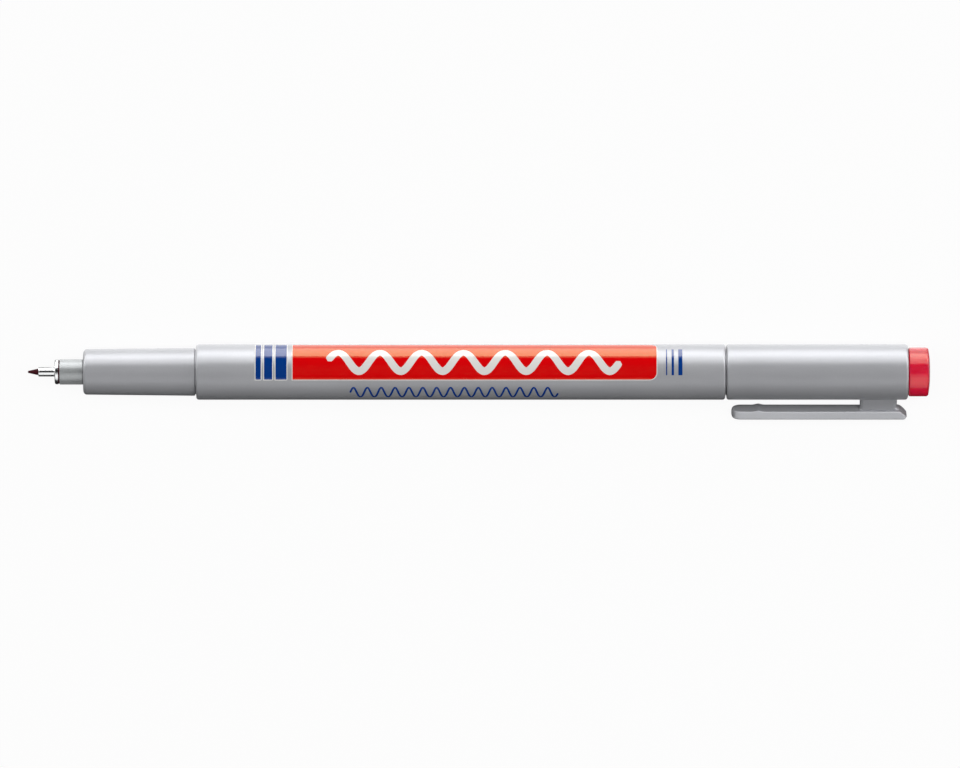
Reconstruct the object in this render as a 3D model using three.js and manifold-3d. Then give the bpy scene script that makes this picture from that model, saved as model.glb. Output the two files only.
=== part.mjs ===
// A fine-tipped non-permanent marker, lying on a table with its cap pushed onto its tail.
// Millimetres. The pen lies along X with its tip towards -X, on the plane Z = 0.
// The origin is on that plane, under the pen's axis, half way along the pen.
import * as THREE from "three";
import { mergeVertices } from "three/addons/utils/BufferGeometryUtils.js";
import Module from "manifold-3d";

const wasm = await Module();
wasm.setup();

// Barrel
const barrelDiameter = 9.5;
const barrelLength = 90.4;
const barrelWall = 0.9;
const barrelEdge = 0.3;
const ribCount = 6;
const ribWidth = 0.8;

// Section, the front grip, pressed into the barrel
const sectionLength = 19.1;
const sectionFrontDiameter = 7.86;
const sectionRearDiameter = 8.25;
const sectionEdge = 0.55;
const sectionWall = 0.75;
const sectionSpigotLength = 8;
const sectionCollarLength = 5;
const jointGroove = 0.2;

// Nib holder, the nose, pressed into the section
const noseLength = 3.95;
const noseDiameter = 4.35;
const noseEdge = 0.15;
const holderStemDiameter = 3.9;
const holderStemLength = 17;
const ventCount = 3;
const ventWidth = 0.7;
const ventDepth = 0.4;

// Ferrule, one deep-drawn steel piece: needle tube, collar and stem
const needleLength = 2.8;
const needleDiameter = 1.6;
const needleWall = 0.16;
const needleEdge = 0.12;
const collarThickness = 0.75;
const collarDiameter = 4.25;
const collarEdge = 0.2;
const ferruleStemDiameter = 2.4;
const ferruleStemLength = 4;

// Nib, a fibre rod with a cone that writes
const nibConeLength = 1.8;
const nibPointDiameter = 0.5;
const nibInReservoir = 7;

// Reservoir
const reservoirDiameter = 6;
const filmThickness = 0.15;

// Tail plug, which closes the barrel and carries the posted cap
const tailSpigotLength = 15;
const tailSpigotDiameter = 8;
const tailEdge = 0.5;
const tailWall = 1.5;
const tailInBarrel = 7;
const tailSlotCount = 3;
const tailSlotWidth = 1.2;
const tailSlotDepth = 2;

// Cap
const capLength = 31;
const capWall = 0.6;
const capMouthEdge = 0.25;
const capEndEdge = 0.5;
const capEndWall = 1;
const capEndHoleDiameter = 6.3;
const snapBeadHeight = 0.08;
const snapBeadLength = 0.8;
const snapBeadFromMouth = 0.8;

// Inner cap, which seals round the nose when the cap is on the tip
const innerCapWall = 0.75;
const innerCapBottom = 0.8;
const innerCapFlange = 0.8;
const innerCapDepth = 9.3;
const sealLipHeight = 0.08;
const sealLipLength = 0.8;

// Cap plug, the coloured end button
const plugLength = 3.8;
const plugDiameter = 8.36;
const plugEdge = 0.35;
const plugFrontEdge = 0.25;
const plugDome = 0.3;
const plugFlatDiameter = 4.4;

// Clip
const clipLength = 30;
const clipWidth = 3;
const clipThickness = 1.49;
const clipGap = 2.05;
const clipFromMouth = 0.9;
const clipCorner = 0.4;
const clipRearCorner = 0.2;
const clipRearRounding = 0.6;
const clipBevel = 0.15;
const clipPostFromTip = 22;
const clipPostLength = 6.3;
const clipPostWidth = 2.2;
const clipPostFootWidth = 4;
const clipPostFillet = 0.3;
const clipHeelHeight = 1.5;
const clipHeelToOuterFace = 0.5;
const clipBumpFromTip = 4.3;
const clipBumpLength = 1.7;
const clipBumpHeight = 0.2;

// Clearances
const pressGap = 0.05;
const slideGap = 0.08;
const seatGap = 0.1;
const cutGap = 0.3;

// Smoothness
const roundFacets = 40;
const smallFacets = 24;
const cornerSteps = 3;
const planSteps = 6;

// Sizes that follow from the ones above
const barrelRadius = barrelDiameter / 2;
const barrelBore = barrelRadius - barrelWall;
const axisHeight = barrelRadius * Math.cos(Math.PI / roundFacets);
const stemBore = needleDiameter / 2 - needleWall;
const nibRadius = stemBore - pressGap;
const capBore = barrelRadius - capWall;
const beadBore = Math.max(capBore - snapBeadHeight, tailSpigotDiameter / 2 + slideGap);
const clipInner = barrelRadius + clipGap;
const clipOuter = clipInner + clipThickness;

// Places along the pen, counted from the nib's point towards the cap's end
const needleFront = nibConeLength;
const collarFront = needleFront + needleLength;
const noseFront = collarFront + collarThickness + seatGap;
const noseRear = noseFront + noseLength;
const holderRear = noseRear + holderStemLength;
const sectionFront = noseRear + seatGap;
const sectionRear = sectionFront + sectionLength;
const barrelFront = sectionRear + jointGroove;
const barrelRear = barrelFront + barrelLength;
const sectionSpigotRear = barrelFront + sectionSpigotLength;
const tailFront = barrelRear + seatGap;
const tailRear = tailFront + tailSpigotLength;
const reservoirFront = holderRear + seatGap;
const reservoirRear = barrelRear - tailInBarrel - seatGap;
const capMouth = barrelRear + 2 * seatGap;
const capEnd = capMouth + capLength;
const capFloor = capEnd - capEndWall;
const innerCapRear = capFloor - seatGap;
const innerCapFront = innerCapRear - innerCapDepth;
const plugFront = capEnd + seatGap;
const plugRear = plugFront + plugLength;
const clipTip = capMouth + clipFromMouth;
const clipEnd = clipTip + clipLength;
const postFront = clipTip + clipPostFromTip;
const postRear = postFront + clipPostLength;

// The heel's slope runs from the post's rear up to the clip's end.
// Its middle is where it passes the clip's inner face.
const heelBase = barrelRadius + clipHeelHeight;
const heelTop = clipOuter - clipHeelToOuterFace;
const heelMiddle = postRear + ((clipEnd - postRear) * (clipInner - heelBase)) / (heelTop - heelBase);

// The pen lies still when the clip's outer corner touches the table beside it.
const clipRoll =
  Math.asin(axisHeight / Math.hypot(clipOuter, clipWidth / 2)) -
  Math.atan2(clipWidth / 2, clipOuter);

const greyPlastic = new THREE.MeshStandardMaterial({ color: 0xa9abb0, roughness: 0.35, metalness: 0.1 });
const noseGrey = new THREE.MeshStandardMaterial({ color: 0xa2a5a6, roughness: 0.25, metalness: 0 });
const steel = new THREE.MeshStandardMaterial({ color: 0xd8dadb, roughness: 0.15, metalness: 1 });
const redFibre = new THREE.MeshStandardMaterial({ color: 0x6e0f22, roughness: 0.8, metalness: 0 });
const redPlastic = new THREE.MeshStandardMaterial({ color: 0xd0283c, roughness: 0.3, metalness: 0 });
const inkFibre = new THREE.MeshStandardMaterial({ color: 0xb82a2e, roughness: 0.9, metalness: 0 });
const clearFilm = new THREE.MeshStandardMaterial({ color: 0xe8e8e4, roughness: 0.3, metalness: 0 });
const paleSeal = new THREE.MeshStandardMaterial({ color: 0xdddcd6, roughness: 0.5, metalness: 0 });

// An outline through corners of [x, radius, rounding]. A closed one goes round and meets itself.
function outline(corners, closed) {
  const path = new THREE.Path();
  const at = (i) => new THREE.Vector2(...corners[(i + corners.length) % corners.length].slice(0, 2));
  const pointTowards = (from, to, distance) => to.sub(from).setLength(distance).add(from);
  corners.forEach(([, , rounding = 0], i) => {
    const corner = at(i);
    if (rounding > 0) {
      const before = pointTowards(corner, at(i - 1), rounding);
      const after = pointTowards(corner, at(i + 1), rounding);
      i ? path.lineTo(before.x, before.y) : path.moveTo(before.x, before.y);
      path.quadraticCurveTo(corner.x, corner.y, after.x, after.y);
    } else {
      i ? path.lineTo(corner.x, corner.y) : path.moveTo(corner.x, corner.y);
    }
  });
  if (closed) path.closePath();
  return path.getPoints(cornerSteps);
}

// Turns an outline round the pen's axis, with a flat facet underneath.
// The outline's outer side runs from the tip to the cap.
function revolve(corners, { closed = true, facets = roundFacets, turnBack = 0 } = {}) {
  const points = outline(corners, closed).map((p) => new THREE.Vector2(p.y, p.x));
  const phase = Math.PI / facets - turnBack;
  return new THREE.LatheGeometry(points, facets, phase).rotateZ(-Math.PI / 2);
}

function toSolid(geometry) {
  const bare = geometry.index ? geometry.toNonIndexed() : geometry.clone();
  bare.deleteAttribute("normal");
  bare.deleteAttribute("uv");
  const merged = mergeVertices(bare, 1e-4);
  const corners = merged.index.array;
  const faces = [];
  for (let i = 0; i < corners.length; i += 3) {
    const [a, b, c] = corners.subarray(i, i + 3);
    if (a !== b && b !== c && c !== a) faces.push(a, b, c);
  }
  const vertProperties = merged.getAttribute("position").array;
  return new wasm.Manifold(
    new wasm.Mesh({ numProp: 3, vertProperties, triVerts: new Uint32Array(faces) }),
  );
}

function toGeometry(solid) {
  const { vertProperties, triVerts } = solid.getMesh();
  const geometry = new THREE.BufferGeometry();
  geometry.setAttribute("position", new THREE.BufferAttribute(vertProperties, 3));
  geometry.setIndex(new THREE.BufferAttribute(triVerts, 1));
  return geometry;
}

function namedMesh(name, geometry, material) {
  const mesh = new THREE.Mesh(geometry, material);
  mesh.name = name;
  return mesh;
}

// Boxes spread evenly round the axis, each from one radius to another.
function boxesRound(count, width, fromX, toX, fromRadius, toRadius) {
  return Array.from({ length: count }, (_, i) => {
    const box = new THREE.BoxGeometry(toX - fromX, width, toRadius - fromRadius);
    box.translate((fromX + toX) / 2, 0, (fromRadius + toRadius) / 2);
    return toSolid(box.rotateX((2 * Math.PI * i) / count));
  });
}

function makeBarrel() {
  const tube = revolve([
    [barrelFront, barrelRadius, barrelEdge],
    [barrelRear, barrelRadius, barrelEdge],
    [barrelRear, barrelBore],
    [barrelFront, barrelBore],
  ]);
  const ribTip = reservoirDiameter / 2 + cutGap;
  const ribFront = sectionSpigotRear + seatGap;
  const ribRear = reservoirRear - seatGap;
  const ribs = boxesRound(ribCount, ribWidth, ribFront, ribRear, ribTip, barrelRadius - barrelWall / 2);
  const ribbed = ribs.reduce((solid, rib) => solid.add(rib), toSolid(tube));
  return namedMesh("barrel", toGeometry(ribbed), greyPlastic);
}

function makeSection() {
  const spigotRadius = barrelBore - pressGap;
  const collarBore = holderStemDiameter / 2 + pressGap;
  const chamberFront = sectionFrontDiameter / 2 - sectionWall;
  const chamberRear = Math.max(spigotRadius - sectionWall, reservoirDiameter / 2 + pressGap);
  return namedMesh(
    "section",
    revolve([
      [sectionFront, sectionFrontDiameter / 2, sectionEdge],
      [sectionRear, sectionRearDiameter / 2, 0.1],
      [sectionRear, spigotRadius],
      [sectionSpigotRear, spigotRadius, 0.3],
      [sectionSpigotRear, chamberRear],
      [sectionFront + sectionCollarLength, chamberFront, 0.5],
      [sectionFront + sectionCollarLength, collarBore],
      [sectionFront, collarBore],
    ]),
    greyPlastic,
  );
}

function makeNibHolder() {
  const stemRadius = holderStemDiameter / 2;
  const pocketRear = noseFront + ferruleStemLength + seatGap;
  const pocketRadius = ferruleStemDiameter / 2 + pressGap;
  const body = revolve([
    [noseFront, noseDiameter / 2, noseEdge],
    [noseRear, noseDiameter / 2],
    [noseRear, stemRadius],
    [holderRear, stemRadius, 0.3],
    [holderRear, stemBore],
    [pocketRear, stemBore],
    [pocketRear, pocketRadius],
    [noseFront, pocketRadius],
  ]);
  const vents = boxesRound(
    ventCount,
    ventWidth,
    noseRear + noseEdge,
    holderRear + noseEdge,
    stemRadius - ventDepth,
    stemRadius + ventDepth,
  );
  const vented = vents.reduce((solid, vent) => solid.subtract(vent), toSolid(body));
  return namedMesh("nib_holder", toGeometry(vented), noseGrey);
}

function makeFerrule() {
  const collarRear = collarFront + collarThickness;
  return namedMesh(
    "ferrule",
    revolve(
      [
        [needleFront, needleDiameter / 2, needleEdge],
        [collarFront, needleDiameter / 2, 0.2],
        [collarFront, collarDiameter / 2, collarEdge],
        [collarRear, collarDiameter / 2],
        [collarRear, ferruleStemDiameter / 2],
        [collarRear + ferruleStemLength, ferruleStemDiameter / 2, 0.2],
        [collarRear + ferruleStemLength, stemBore],
        [needleFront, stemBore],
      ],
      { facets: smallFacets },
    ),
    steel,
  );
}

function makeNib() {
  return namedMesh(
    "nib",
    revolve(
      [
        [0, 0],
        [0, nibPointDiameter / 2, nibPointDiameter / 3],
        [nibConeLength, nibRadius, 0.2],
        [reservoirFront + nibInReservoir, nibRadius],
        [reservoirFront + nibInReservoir, 0],
      ],
      { closed: false, facets: smallFacets },
    ),
    redFibre,
  );
}

function makeReservoirCore() {
  const coreRadius = reservoirDiameter / 2 - filmThickness - pressGap;
  const nibHole = nibRadius + pressGap;
  const nibHoleRear = reservoirFront + nibInReservoir + seatGap;
  return namedMesh(
    "reservoir_core",
    revolve(
      [
        [nibHoleRear, 0],
        [nibHoleRear, nibHole],
        [reservoirFront, nibHole],
        [reservoirFront, coreRadius],
        [reservoirRear, coreRadius],
        [reservoirRear, 0],
      ],
      { closed: false },
    ),
    inkFibre,
  );
}

function makeReservoirSleeve() {
  const outer = reservoirDiameter / 2;
  const inner = outer - filmThickness;
  return namedMesh(
    "reservoir_sleeve",
    revolve([
      [reservoirFront, outer],
      [reservoirRear, outer],
      [reservoirRear, inner],
      [reservoirFront, inner],
    ]),
    clearFilm,
  );
}

function makeTailPlug() {
  const front = barrelRear - tailInBarrel;
  const insertRadius = barrelBore - pressGap;
  const hollowRadius = insertRadius - tailWall;
  const body = revolve(
    [
      [tailRear - tailWall, 0],
      [tailRear - tailWall, hollowRadius, 0.5],
      [front, hollowRadius],
      [front, insertRadius, 0.3],
      [tailFront, insertRadius],
      [tailFront, tailSpigotDiameter / 2],
      [tailRear, tailSpigotDiameter / 2, tailEdge],
      [tailRear, 0],
    ],
    { closed: false },
  );
  const slots = boxesRound(
    tailSlotCount,
    tailSlotWidth,
    front - tailSlotDepth,
    front + tailSlotDepth,
    hollowRadius / 2,
    barrelRadius,
  );
  const slotted = slots.reduce((solid, slot) => solid.subtract(slot), toSolid(body));
  return namedMesh("tail_plug", toGeometry(slotted), greyPlastic);
}

function makeCapShell() {
  const beadFront = capMouth + snapBeadFromMouth;
  return namedMesh(
    "cap_shell",
    revolve(
      [
        [capMouth, barrelRadius, capMouthEdge],
        [capEnd, barrelRadius, capEndEdge],
        [capEnd, capEndHoleDiameter / 2],
        [capFloor, capEndHoleDiameter / 2],
        [capFloor, capBore, 0.3],
        [beadFront + snapBeadLength, capBore],
        [beadFront + (2 * snapBeadLength) / 3, beadBore],
        [beadFront + snapBeadLength / 3, beadBore],
        [beadFront, capBore],
        [capMouth, capBore],
      ],
      { turnBack: clipRoll },
    ),
    greyPlastic,
  );
}

function makeInnerCap() {
  const cupBore = noseDiameter / 2 + sealLipHeight + pressGap;
  const lipBore = noseDiameter / 2 + pressGap;
  const cupOuter = cupBore + innerCapWall;
  return namedMesh(
    "inner_cap",
    revolve(
      [
        [innerCapRear - innerCapBottom, 0],
        [innerCapRear - innerCapBottom, cupBore, 0.3],
        [innerCapFront + 2 * sealLipLength, cupBore],
        [innerCapFront + sealLipLength, lipBore],
        [innerCapFront, lipBore],
        [innerCapFront, cupOuter, 0.3],
        [innerCapRear - innerCapFlange, cupOuter, 0.3],
        [innerCapRear - innerCapFlange, capBore - pressGap],
        [innerCapRear, capBore - pressGap],
        [innerCapRear, 0],
      ],
      { closed: false },
    ),
    paleSeal,
  );
}

function makeCapPlug() {
  const stemFront = innerCapRear + seatGap;
  const stemRadius = capEndHoleDiameter / 2 - pressGap;
  const radius = plugDiameter / 2;
  return namedMesh(
    "cap_plug",
    revolve(
      [
        [stemFront, 0],
        [stemFront, stemRadius],
        [plugFront, stemRadius],
        [plugFront, radius, plugFrontEdge],
        [plugRear - plugDome, radius, plugEdge],
        [plugRear, plugFlatDiameter / 2],
        [plugRear, 0],
      ],
      { closed: false },
    ),
    redPlastic,
  );
}

// The clip's side view is drawn in x and in distance from the pen's axis, and the clip points towards -Y.
function sideView(corners) {
  return new THREE.Shape(outline(corners, true).map((p) => new THREE.Vector2(p.x, -p.y)));
}

function makeClipBar() {
  const bumpMiddle = clipTip + clipBumpFromTip;
  const side = sideView([
    [clipTip, clipInner, clipCorner],
    [bumpMiddle - clipBumpLength / 2, clipInner],
    [bumpMiddle, clipInner - 2 * clipBumpHeight, clipBumpLength / 3],
    [bumpMiddle + clipBumpLength / 2, clipInner],
    [heelMiddle, clipInner],
    [clipEnd, heelTop],
    [clipEnd, clipOuter, clipRearCorner],
    [clipTip, clipOuter, clipCorner],
  ]);
  return new THREE.ExtrudeGeometry(side, {
    depth: clipWidth - 2 * clipBevel,
    bevelThickness: clipBevel,
    bevelSize: clipBevel,
    bevelOffset: -clipBevel,
    bevelSegments: 2,
  }).translate(0, 0, clipBevel - clipWidth / 2);
}

// The clip seen face on: a half round tip, and small roundings at the other end.
function makeClipPlan() {
  const half = clipWidth / 2;
  const straightEnd = clipEnd - clipRearRounding;
  const side = half - clipRearRounding;
  const plan = new THREE.Shape()
    .moveTo(clipTip + half, -half)
    .lineTo(straightEnd, -half)
    .absarc(straightEnd, -side, clipRearRounding, -Math.PI / 2, 0)
    .absarc(straightEnd, side, clipRearRounding, 0, Math.PI / 2)
    .absarc(clipTip + half, 0, half, Math.PI / 2, (3 * Math.PI) / 2);
  const points = plan.getPoints(planSteps).slice(0, -1);
  return new THREE.ExtrudeGeometry(new THREE.Shape(points), { depth: clipOuter, bevelEnabled: false })
    .translate(0, 0, barrelRadius)
    .rotateX(Math.PI / 2);
}

function makePostSide() {
  const foot = barrelRadius / 2;
  const top = clipInner + clipThickness / 3;
  const front = postFront - 2 * clipPostFillet;
  const side = sideView([
    [front, top],
    [front, clipInner],
    [postFront, clipInner, clipPostFillet],
    [postFront, foot],
    [postRear, foot],
    [postRear, heelBase],
    [heelMiddle, clipInner],
    [heelMiddle - clipPostFillet, top],
  ]);
  return new THREE.ExtrudeGeometry(side, { depth: 2 * clipPostFootWidth, bevelEnabled: false })
    .translate(0, 0, -clipPostFootWidth);
}

// The post is narrower than the clip and widens towards the cap.
function makePostAcross() {
  const narrow = clipPostWidth / 2;
  const wide = clipPostFootWidth / 2;
  const corners = [
    [-wide, 0],
    [wide, 0],
    [wide, -barrelRadius],
    [narrow, -clipInner],
    [narrow, -clipOuter],
    [-narrow, -clipOuter],
    [-narrow, -clipInner],
    [-wide, -barrelRadius],
  ].map(([z, y]) => new THREE.Vector2(z, y));
  return new THREE.ExtrudeGeometry(new THREE.Shape(corners), { depth: clipLength, bevelEnabled: false })
    .rotateY(Math.PI / 2)
    .translate(clipTip, 0, 0);
}

function makeClip() {
  const saddle = revolve(
    [
      [capMouth, 0],
      [capMouth, barrelRadius + cutGap],
      [plugRear, barrelRadius + cutGap],
      [plugRear, 0],
    ],
    { closed: false, turnBack: clipRoll },
  );
  const bar = toSolid(makeClipBar()).intersect(toSolid(makeClipPlan()));
  const post = toSolid(makePostSide()).intersect(toSolid(makePostAcross())).subtract(toSolid(saddle));
  return namedMesh("clip", toGeometry(bar.add(post)), greyPlastic);
}

const pen = new THREE.Group();
pen.add(
  makeBarrel(),
  makeSection(),
  makeNibHolder(),
  makeFerrule(),
  makeNib(),
  makeReservoirCore(),
  makeReservoirSleeve(),
  makeTailPlug(),
);

// The cap is turned on the tail until its clip lies on the table.
const cap = new THREE.Group();
cap.add(makeCapShell(), makeInnerCap(), makeCapPlug(), makeClip());
cap.rotation.x = clipRoll;

const marker = new THREE.Group();
marker.add(pen, cap);
marker.position.set(-plugRear / 2, 0, axisHeight);

export default marker;
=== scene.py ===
import bmesh
import bpy
import numpy as np
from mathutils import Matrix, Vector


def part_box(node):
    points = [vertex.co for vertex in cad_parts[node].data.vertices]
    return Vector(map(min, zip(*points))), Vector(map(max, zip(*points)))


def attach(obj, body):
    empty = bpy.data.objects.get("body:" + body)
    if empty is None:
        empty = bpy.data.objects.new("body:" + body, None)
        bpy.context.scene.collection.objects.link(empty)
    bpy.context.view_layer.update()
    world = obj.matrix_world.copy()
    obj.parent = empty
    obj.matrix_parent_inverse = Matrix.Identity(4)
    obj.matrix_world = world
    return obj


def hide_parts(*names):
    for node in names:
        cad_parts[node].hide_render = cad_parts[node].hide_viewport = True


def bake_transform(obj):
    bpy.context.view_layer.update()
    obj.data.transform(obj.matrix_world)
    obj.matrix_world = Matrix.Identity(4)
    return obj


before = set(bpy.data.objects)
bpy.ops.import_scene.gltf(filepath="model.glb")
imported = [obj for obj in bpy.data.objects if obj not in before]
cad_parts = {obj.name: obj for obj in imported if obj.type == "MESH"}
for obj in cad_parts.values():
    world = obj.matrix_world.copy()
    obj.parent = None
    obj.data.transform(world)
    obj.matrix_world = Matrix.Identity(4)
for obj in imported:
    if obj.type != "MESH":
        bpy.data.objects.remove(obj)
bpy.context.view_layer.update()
mm = 0.001


# Places read from the frame

def span(node):
    # first and last x of a CAD node, in millimetres
    low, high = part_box(node)
    return low.x / mm, high.x / mm


pen = {
    "axisHeight": (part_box("barrel")[0].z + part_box("barrel")[1].z) / 2 / mm,
    "radius": 4.75,
}


# Meshes

meshing = {
    "arcSteps": 7,
    "hold": 1.25,  # a ring this many roundings from a corner keeps the long sides flat in shading
    "mergeDistance": 2e-7,  # metres
    "sharpAngle": np.radians(32),
}
hiddenEdge = 0.3  # rounding of edges inside the pen


def rounded(corners):
    # Each corner is x, radius and rounding. A rounding is an arc that touches both sides at that
    # distance from the corner: point(t) = centre + (sin((1-t)w) first + sin(t w) last) / sin(w).
    path = []
    count = len(corners)
    for i, (x, y, rounding) in enumerate(corners):
        corner = np.array([x, y])
        if not rounding:
            path.append(corner[None])
            continue
        back = np.array(corners[i - 1][:2]) - corner
        ahead = np.array(corners[(i + 1) % count][:2]) - corner
        back, ahead = back / np.linalg.norm(back), ahead / np.linalg.norm(ahead)
        half = np.arccos(np.clip(back @ ahead, -1, 1)) / 2
        middle = (back + ahead) / np.linalg.norm(back + ahead)
        centre = corner + middle * rounding / np.cos(half)
        first, last = corner + back * rounding - centre, corner + ahead * rounding - centre
        w = np.pi - 2 * half
        t = np.linspace(0, 1, meshing["arcSteps"] + 1)[:, None]
        arc = centre + (np.sin((1 - t) * w) * first + np.sin(t * w) * last) / np.sin(w)
        hold = rounding * meshing["hold"]
        path.append(np.vstack([corner + back * hold, arc, corner + ahead * hold]))
    return np.vstack(path)


def meshFrom(name, grids):
    # Each grid is rows by columns by xyz, with a flag that says if its last row meets its first.
    # Its columns always go round. Rows that shrink to a point or a line are merged into a closed end.
    points, quads, offset = [], [], 0
    for grid, ringRows in grids:
        rows, columns = grid.shape[:2]
        i = np.arange(rows if ringRows else rows - 1)[:, None]
        j = np.arange(columns)[None, :]
        nextI, nextJ = (i + 1) % rows, (j + 1) % columns
        row, nextRow = i * columns, nextI * columns
        quad = np.stack([row + j, nextRow + j, nextRow + nextJ, row + nextJ], -1)
        quads.append(quad.reshape(-1, 4) + offset)
        points.append(grid.reshape(-1, 3))
        offset += rows * columns
    points, quads = np.vstack(points) * mm, np.vstack(quads)
    mesh = bpy.data.meshes.new(name)
    mesh.vertices.add(len(points))
    mesh.vertices.foreach_set("co", points.astype(np.float32).ravel())
    mesh.loops.add(quads.size)
    mesh.loops.foreach_set("vertex_index", quads.astype(np.int32).ravel())
    mesh.polygons.add(len(quads))
    mesh.polygons.foreach_set("loop_start", np.arange(0, quads.size, 4, dtype=np.int32))
    mesh.update(calc_edges=True)
    work = bmesh.new()
    work.from_mesh(mesh)
    bmesh.ops.remove_doubles(work, verts=work.verts, dist=meshing["mergeDistance"])
    bmesh.ops.recalc_face_normals(work, faces=work.faces)
    work.to_mesh(mesh)
    work.free()
    mesh.shade_smooth()
    mesh.set_sharp_from_angle(angle=meshing["sharpAngle"])
    obj = bpy.data.objects.new(name, mesh)
    bpy.context.scene.collection.objects.link(obj)
    return obj


def turned(name, corners, closed=True, around=160):
    # A profile turned about the pen's axis: y = r sin(angle), z = axis height + r cos(angle).
    x, radius = rounded(corners).T
    angle = np.linspace(0, 2 * np.pi, around, endpoint=False)
    grid = np.empty((len(x), around, 3))
    grid[..., 0] = x[:, None]
    grid[..., 1] = radius[:, None] * np.sin(angle)
    grid[..., 2] = pen["axisHeight"] + radius[:, None] * np.cos(angle)
    return meshFrom(name, [(grid, closed)])


def dress(obj, material, body, slot, *nodes):
    obj.data.materials.append(material)
    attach(obj, body)
    if nodes:
        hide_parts(*nodes)
    return obj


# Materials

def linear(hexColour):
    # sRGB hex to linear: c / 12.92 below 0.04045, else ((c + 0.055) / 1.055) ^ 2.4
    c = np.array([int(hexColour[i:i + 2], 16) for i in (1, 3, 5)]) / 255
    return (*np.where(c <= 0.04045, c / 12.92, ((c + 0.055) / 1.055) ** 2.4), 1.0)


def addNode(material, kind, settings=None, links=None, stops=(), **choices):
    # a node with its socket values, its links as (node, output), and the stops of its ramp
    tree = material.node_tree
    node = tree.nodes.new(kind)
    for key, value in choices.items():
        setattr(node, key, value)
    for key, value in (settings or {}).items():
        node.inputs[key].default_value = value
    for key, (source, output) in (links or {}).items():
        tree.links.new(source.outputs[output], node.inputs[key])
    for i, (position, colour) in enumerate(stops):
        node.color_ramp.elements[i].position = position
        node.color_ramp.elements[i].color = colour
    return node


def shades(dark, light, low=0.3, high=0.7):
    # stops over a noise, which runs mostly between these two values
    return (low, dark), (high, light)


def newMaterial(name):
    material = bpy.data.materials.new(name)
    material.use_nodes = True
    material.node_tree.nodes.clear()
    return material


# Polypropylene with a fine aluminium pigment, injection moulded in a satin mould: an even silver grey
# with a soft, wide highlight, and a pigment that runs faintly along the flow.
silverPlastic = {
    "dark": "#a8a9ad",
    "light": "#b4b5b9",
    "flakeSize": 0.22,  # real flakes are about 0.03 mm, drawn coarser so that they show
    "flakeShare": 0.35,
    "flowLength": 18,
    "flowWidth": 4,
    "grainSize": 0.12,
    "grainDepth": 0.004,
    "metallic": 0.3,
    "roughness": (0.33, 0.39),
}


def makeSilverPolypropylene():
    look = silverPlastic
    material = newMaterial("satinSilverPolypropylene")
    place = addNode(material, "ShaderNodeTexCoord")
    flakes = addNode(
        material, "ShaderNodeTexNoise",
        {"Scale": 1 / (look["flakeSize"] * mm), "Detail": 2.0, "Roughness": 0.6},
        {"Vector": (place, "Object")},
    )
    across = 1 / look["flowWidth"] / mm
    stretch = addNode(
        material, "ShaderNodeMapping",
        {"Scale": (1 / look["flowLength"] / mm, across, across)}, {"Vector": (place, "Object")},
    )
    flow = addNode(
        material, "ShaderNodeTexNoise",
        {"Scale": 1.0, "Detail": 3.0, "Roughness": 0.5},
        {"Vector": (stretch, "Vector")},
    )
    both = addNode(
        material, "ShaderNodeMix",
        {"Factor": look["flakeShare"]}, {"A": (flow, "Fac"), "B": (flakes, "Fac")},
    )
    colour = addNode(
        material, "ShaderNodeValToRGB", links={"Fac": (both, "Result")},
        stops=shades(linear(look["dark"]), linear(look["light"])),
    )
    roughness = addNode(
        material, "ShaderNodeMapRange",
        {"To Min": look["roughness"][0], "To Max": look["roughness"][1]}, {"Value": (flow, "Fac")},
    )
    grain = addNode(
        material, "ShaderNodeTexNoise",
        {"Scale": 1 / (look["grainSize"] * mm), "Detail": 1.0},
        {"Vector": (place, "Object")},
    )
    bump = addNode(
        material, "ShaderNodeBump",
        {"Strength": 0.12, "Distance": look["grainDepth"] * mm}, {"Height": (grain, "Fac")},
    )
    shader = addNode(
        material, "ShaderNodeBsdfPrincipled",
        {"Metallic": look["metallic"], "IOR": 1.49},
        {"Base Color": (colour, "Color"), "Roughness": (roughness, "Result"), "Normal": (bump, "Normal")},
    )
    addNode(material, "ShaderNodeOutputMaterial", links={"Surface": (shader, "BSDF")})
    return material


# The same kind of plastic from a polished mould: a tighter highlight on the small nose.
nosePlastic = {
    "dark": "#9a9d9e", "light": "#a6a9aa", "flakeSize": 0.2, "metallic": 0.35, "roughness": (0.3, 0.36),
}


def makePolishedGrey():
    look = nosePlastic
    material = newMaterial("polishedGreyPlastic")
    place = addNode(material, "ShaderNodeTexCoord")
    flakes = addNode(
        material, "ShaderNodeTexNoise",
        {"Scale": 1 / (look["flakeSize"] * mm), "Detail": 2.0},
        {"Vector": (place, "Object")},
    )
    colour = addNode(
        material, "ShaderNodeValToRGB", links={"Fac": (flakes, "Fac")},
        stops=shades(linear(look["dark"]), linear(look["light"])),
    )
    roughness = addNode(
        material, "ShaderNodeMapRange",
        {"To Min": look["roughness"][0], "To Max": look["roughness"][1]}, {"Value": (flakes, "Fac")},
    )
    shader = addNode(
        material, "ShaderNodeBsdfPrincipled",
        {"Metallic": look["metallic"], "IOR": 1.5},
        {"Base Color": (colour, "Color"), "Roughness": (roughness, "Result")},
    )
    addNode(material, "ShaderNodeOutputMaterial", links={"Surface": (shader, "BSDF")})
    return material


# Stainless steel, deep drawn and tumbled: a bright mirror with faint rings left by the die.
drawnSteel = {
    "colour": "#d9dadb", "ringWidth": 0.12, "ringReach": 20 / 3, "ringDepth": 0.002, "roughness": (0.2, 0.27),
}


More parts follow.
